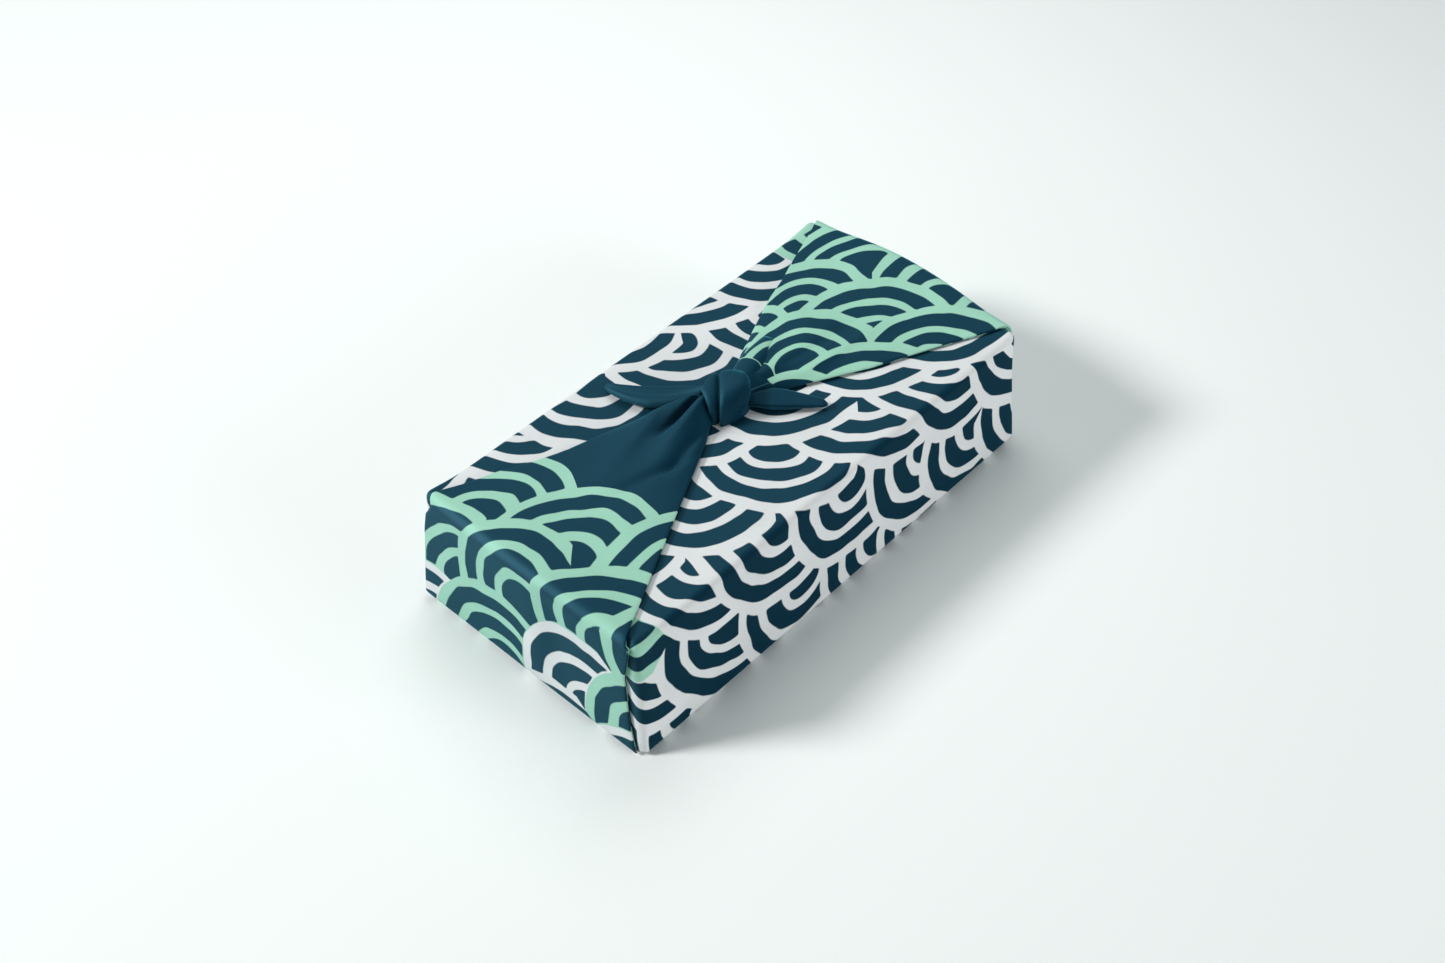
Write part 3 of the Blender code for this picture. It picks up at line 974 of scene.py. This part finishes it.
# A patch of white scales on the left end: its place and reach in p and q, and its strength
PATCH_PLACE = (-150.0, -48.0)
PATCH_REACH = (30.0, 24.0)
PATCH_STRENGTH = 90.0


def scale_centre(n, along, row):
    """The nearest scale of a row: up and along of its centre, and its radius."""
    half = n.math("MULTIPLY", n.math("FLOORED_MODULO", row, 2.0), COLUMN_STEP / 2)
    column = n.math("ROUND", n.math("DIVIDE", n.math("SUBTRACT", along, half), COLUMN_STEP))
    chance = n.random(row, column)
    centre_up = n.vary(chance[0], STRAY_UP, n.math("MULTIPLY", row, ROW_STEP))
    centre_along = n.vary(chance[1], STRAY_ALONG, n.math("MULTIPLY_ADD", column, COLUMN_STEP, half))
    radius = n.vary(chance[2], STRAY_RADIUS, SCALE_RADIUS)
    return centre_up, centre_along, radius


def scale_rings(n, inside):
    """How deep a point of a scale lies in the navy of its rings and heart."""
    deepest = n.math("SUBTRACT", inside, HEART)
    for depth, half_width in RINGS:
        off_middle = n.math("ABSOLUTE", n.math("SUBTRACT", inside, depth))
        deepest = n.math("MAXIMUM", deepest, n.math("SUBTRACT", half_width, off_middle))
    return deepest


def scale_zone(n, centre_up, centre_along):
    """Where a scale counts as lying between the middle of the cloth and its corners: left is negative."""
    q, p = n.diagonals(centre_along, centre_up)
    highest = n.mix(n.math("GREATER_THAN", p, 0.0), BORDER_HIGHEST_LEFT, BORDER_HIGHEST_RIGHT)
    slant = n.math("MAXIMUM", n.math("SUBTRACT", q, BORDER_MIDDLE), BORDER_LOWEST)
    slant = n.math("MINIMUM", slant, highest)
    zone = n.math("MULTIPLY_ADD", slant, BORDER_SLANT, p)
    off_p, off_q = (
        n.math("DIVIDE", n.math("SUBTRACT", value, place), reach)
        for value, place, reach in zip((p, q), PATCH_PLACE, PATCH_REACH)
    )
    patch = n.math("EXPONENT", n.math("MULTIPLY", n.squares(off_p, off_q), -1.0))
    return n.math("MULTIPLY_ADD", patch, PATCH_STRENGTH, zone)


def scale_group():
    """One row of scales laid over what is behind it: how deep a point lies in the navy, and its zone."""
    group = bpy.data.node_groups.new("row_of_scales", "ShaderNodeTree")
    for name in ("Up", "Along", "Row", "Wobble", "Navy", "Zone"):
        group.interface.new_socket(name=name, in_out="INPUT", socket_type="NodeSocketFloat")
    for name in ("Navy", "Zone"):
        group.interface.new_socket(name=name, in_out="OUTPUT", socket_type="NodeSocketFloat")
    n = Nodes(group)
    given = group.nodes.new("NodeGroupInput").outputs
    centre_up, centre_along, radius = scale_centre(n, given["Along"], given["Row"])
    off_up = n.math("SUBTRACT", given["Up"], centre_up)
    off_along = n.math("SUBTRACT", given["Along"], centre_along)
    distance = n.math("SQRT", n.squares(off_up, off_along))
    inside = n.math("ADD", n.math("SUBTRACT", radius, distance), given["Wobble"])
    outside = n.math("SUBTRACT", n.math("MULTIPLY", inside, -1.0), FREE_LINE)
    behind = n.math("SMOOTH_MIN", given["Navy"], outside, SOFTNESS)
    within = n.math("GREATER_THAN", inside, 0.0)
    out = group.nodes.new("NodeGroupOutput")
    n.put(out.inputs["Navy"], n.mix(within, behind, scale_rings(n, inside)))
    n.put(out.inputs["Zone"], n.mix(within, given["Zone"], scale_zone(n, centre_up, centre_along)))
    return group


def uneven(n, x, y, z, change, base):
    """A value that wanders with the place on the cloth."""
    amount, scale = change
    return n.vary(n.noise(n.point(x, y, z), scale, 1.0), amount, base)


def print_factors(n, p, q):
    """Share of ink lines, and share of mint in them."""
    along, up = n.diagonals(q, p)
    bent_up = uneven(n, up, along, 0, BEND_UP, up)
    bent_along = uneven(n, along, up, 40.0, BEND_ALONG, along)
    wobble = uneven(n, up, along, 9.0, TREMBLE, 0.0)
    row = n.math("FLOOR", n.math("DIVIDE", bent_up, ROW_STEP))
    group = scale_group()
    navy = NO_SCALE
    zone = 0.0
    for step in ROWS_NEAR:
        node = n.tree.nodes.new("ShaderNodeGroup")
        node.node_tree = group
        values = (bent_up, bent_along, n.math("ADD", row, step), wobble, navy, zone)
        for name, value in zip(("Up", "Along", "Row", "Wobble", "Navy", "Zone"), values):
            n.put(node.inputs[name], value)
        navy = node.outputs["Navy"]
        zone = node.outputs["Zone"]
    far = n.math("ABSOLUTE", zone)
    mint_end = n.mix(n.math("GREATER_THAN", p, 0.0), MINT_END_LEFT, MINT_END_RIGHT)
    printed = n.math("SUBTRACT", 1.0, n.math("GREATER_THAN", far, mint_end))
    weight = uneven(n, along, up, 3.0, LINE_CHANGE, navy)
    line = n.math("MULTIPLY_ADD", weight, -LINE_SHARPNESS, 0.5, clamp=True)
    line = n.math("MULTIPLY", line, printed)
    mint = n.math("GREATER_THAN", far, WHITE_END)
    return line, mint


NAVY = (0.0018, 0.0210, 0.0430, 1)
WHITE = (0.68, 0.68, 0.68, 1)
MINT = (0.315, 0.575, 0.435, 1)
THREAD = (0.07, 0.17, 0.24, 1)

# The weave: width of a thread each way in mm, and the mean of its relief
WARP = 0.42
WEFT = 0.36
WEAVE_MEAN = 1.27

# How much the threads, the slubs and clouds change the shade, and their heights for the relief
WEAVE_SHADE, WEAVE_HEIGHT = 0.06, 0.35
SLUB_SHADE, SLUB_HEIGHT = 0.16, 0.6
CLOUD_SHADE, CLOUD_HEIGHT = 0.22, 3.0
STITCH_HEIGHT = 1.5
RELIEF = 0.12 * MM
RELIEF_STRENGTH = 0.35

# Noise of the thicker threads and of the slow unevenness: scale, detail, roughness
SLUB_NOISE = (1.6, 3.0, 0.6)
SLUB_STRETCH = 0.06
CLOUD_NOISE = (0.03, 3.0, 0.55)

# The hem's seam, in mm: distance from the cloth's edge, and half width
SEAM = 7.0
SEAM_HALF = 0.5

# Its stitches: radians for each mm of p + q, the sine above which there is thread, and strength
STITCH_RATE = 1.6
STITCH_FROM = -0.3
STITCH_STRENGTH = 0.7

# The cloth's roughness, and how much the thicker threads add
ROUGHNESS = 0.62
SLUB_ROUGHNESS = 0.10


def weave_factors(n, p, q):
    """Relief of the threads, of thicker threads among them, and of the cloth's slow unevenness."""
    added, taken = n.diagonals(p, q)
    warp = n.math("SINE", n.math("MULTIPLY", added, math.pi / WARP))
    weft = n.math("SINE", n.math("MULTIPLY", taken, math.pi / WEFT))
    weave = n.math("ADD", n.math("ABSOLUTE", warp), n.math("ABSOLUTE", weft))
    along = n.math("MULTIPLY", n.math("ADD", p, q), SLUB_STRETCH)
    slub = n.noise(n.point(along, n.math("SUBTRACT", p, q)), *SLUB_NOISE)
    cloud = n.noise(n.point(p, q), *CLOUD_NOISE)
    return weave, slub, cloud


def stitches(n, p, q):
    """Share of the hem's stitches."""
    rim = n.math("SUBTRACT", REACH / MM, n.math("ADD", n.math("ABSOLUTE", p), n.math("ABSOLUTE", q)))
    rim = n.math("MULTIPLY", rim, math.sqrt(0.5))
    off_seam = n.math("ABSOLUTE", n.math("SUBTRACT", rim, SEAM))
    seam = n.math("SUBTRACT", 1.0, n.math("DIVIDE", off_seam, SEAM_HALF), clamp=True)
    turns = n.math("MULTIPLY", n.math("ADD", p, q), STITCH_RATE)
    return n.math("MULTIPLY", seam, n.math("GREATER_THAN", n.math("SINE", turns), STITCH_FROM))


def cloth_material():
    """Printed cotton sateen: the print, a fine weave, hem stitches and a soft sheen."""
    material = bpy.data.materials.new("printed_cotton_sateen")
    material.use_nodes = True
    tree = material.node_tree
    n = Nodes(tree)
    shader = tree.nodes["Principled BSDF"]
    uv = tree.nodes.new("ShaderNodeUVMap")
    uv.uv_map = "cloth"
    split = tree.nodes.new("ShaderNodeSeparateXYZ")
    tree.links.new(uv.outputs[0], split.inputs[0])
    p, q = (n.math("MULTIPLY", split.outputs[i], 1 / MM) for i in (0, 1))
    line, mint = print_factors(n, p, q)
    weave, slub, cloud = weave_factors(n, p, q)
    stitch = stitches(n, p, q)

    colour = n.colour(line, NAVY, n.colour(mint, WHITE, MINT))
    shade = n.vary(cloud, CLOUD_SHADE, 1.0)
    shade = n.vary(slub, SLUB_SHADE, shade)
    shade = n.math("MULTIPLY_ADD", n.math("SUBTRACT", weave, WEAVE_MEAN), WEAVE_SHADE, shade)
    colour = n.colour(1.0, colour, n.point(shade, shade, shade), "MULTIPLY")
    colour = n.colour(n.math("MULTIPLY", stitch, STITCH_STRENGTH), colour, THREAD)

    height = n.math("MULTIPLY_ADD", weave, WEAVE_HEIGHT, n.math("MULTIPLY", slub, SLUB_HEIGHT))
    height = n.math("MULTIPLY_ADD", stitch, STITCH_HEIGHT, height)
    height = n.math("MULTIPLY_ADD", cloud, CLOUD_HEIGHT, height)
    bump = tree.nodes.new("ShaderNodeBump")
    bump.inputs["Strength"].default_value = RELIEF_STRENGTH
    bump.inputs["Distance"].default_value = RELIEF
    tree.links.new(height, bump.inputs["Height"])
    tree.links.new(bump.outputs[0], shader.inputs["Normal"])
    tree.links.new(colour, shader.inputs["Base Color"])
    n.put(shader.inputs["Roughness"], n.math("MULTIPLY_ADD", slub, SLUB_ROUGHNESS, ROUGHNESS))
    shader.inputs["Specular IOR Level"].default_value = 0.45
    shader.inputs["Specular Tint"].default_value = (0.22, 0.80, 1.0, 1)
    shader.inputs["Sheen Weight"].default_value = 0.28
    shader.inputs["Sheen Roughness"].default_value = 0.4
    shader.inputs["Sheen Tint"].default_value = (0.12, 0.75, 1.0, 1)
    return material


FLOOR_SIZE = 8


def floor_material():
    material = bpy.data.materials.new("pale_floor")
    material.use_nodes = True
    shader = material.node_tree.nodes["Principled BSDF"]
    shader.inputs["Base Color"].default_value = (0.835, 0.875, 0.865, 1)
    shader.inputs["Roughness"].default_value = 0.85
    shader.inputs["Specular IOR Level"].default_value = 0.1
    return material


def make_floor():
    bpy.ops.mesh.primitive_plane_add(size=FLOOR_SIZE, location=(0, 0, LOW[2]))
    floor = bpy.context.object
    floor.name = "floor"
    floor.data.materials.append(floor_material())
    floor.visible_glossy = False


def aim(obj, place, target):
    obj.location = place
    obj.rotation_euler = (Vector(target) - Vector(place)).to_track_quat("-Z", "Y").to_euler()


# Lights: name, place, size, power and colour. All of them point at the bundle's middle
LIGHTS = (
    ("key", (-1.6, 1.32, 1.57), 0.62, 59, (1.0, 0.995, 0.98)),
    ("pool", (0.25, 0.3, 0.75), 0.6, 2.8, (0.97, 1.0, 1.0)),
    ("front_fill", (0.45, -1.8, 0.42), 1.2, 24, (0.98, 1.0, 1.0)),
    ("gloss", (-1.05, 0.6, 0.30), 1.4, 32, (1.0, 1.0, 1.0)),
)
LIT_POINT = (0, 0, 0.03)

# The studio's air
AIR_COLOUR = (0.90, 0.97, 1.0, 1)
AIR_STRENGTH = 0.16


def add_light(name, place, size, power, colour):
    data = bpy.data.lights.new(name, "AREA")
    data.shape = "DISK"
    data.size = size
    data.energy = power
    data.color = colour
    light = bpy.data.objects.new(name, data)
    bpy.context.scene.collection.objects.link(light)
    aim(light, place, LIT_POINT)
    return light


def make_lights():
    """The front fill gives no gloss, and the gloss light gives nothing else."""
    lights = {row[0]: add_light(*row) for row in LIGHTS}
    lights["front_fill"].visible_glossy = False
    lights["gloss"].visible_diffuse = False
    world = bpy.data.worlds.new("studio")
    bpy.context.scene.world = world
    world.use_nodes = True
    background = world.node_tree.nodes["Background"]
    background.inputs[0].default_value = AIR_COLOUR
    background.inputs[1].default_value = AIR_STRENGTH
    world.cycles_visibility.glossy = False
    bpy.context.scene.view_settings.view_transform = "Standard"


# The photograph's camera: place, target, and lens and sensor width in mm
CAMERA_PLACE = (-0.4511, -0.4071, 0.6499)
CAMERA_TARGET = (0.01113, 0.01656, 0.0)
CAMERA_LENS = 46.4
CAMERA_SENSOR = 36


def make_camera():
    """The photograph's view."""
    data = bpy.data.cameras.new("camera")
    data.sensor_width = CAMERA_SENSOR
    data.lens = CAMERA_LENS
    camera = bpy.data.objects.new("camera", data)
    bpy.context.scene.collection.objects.link(camera)
    aim(camera, CAMERA_PLACE, CAMERA_TARGET)
    bpy.context.scene.camera = camera


def dress(cloth):
    cloth.data.materials.append(cloth_material())
    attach(cloth, "root")
    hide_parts("furoshiki_cloth")


make_floor()
dress(make_cloth())
make_lights()
make_camera()
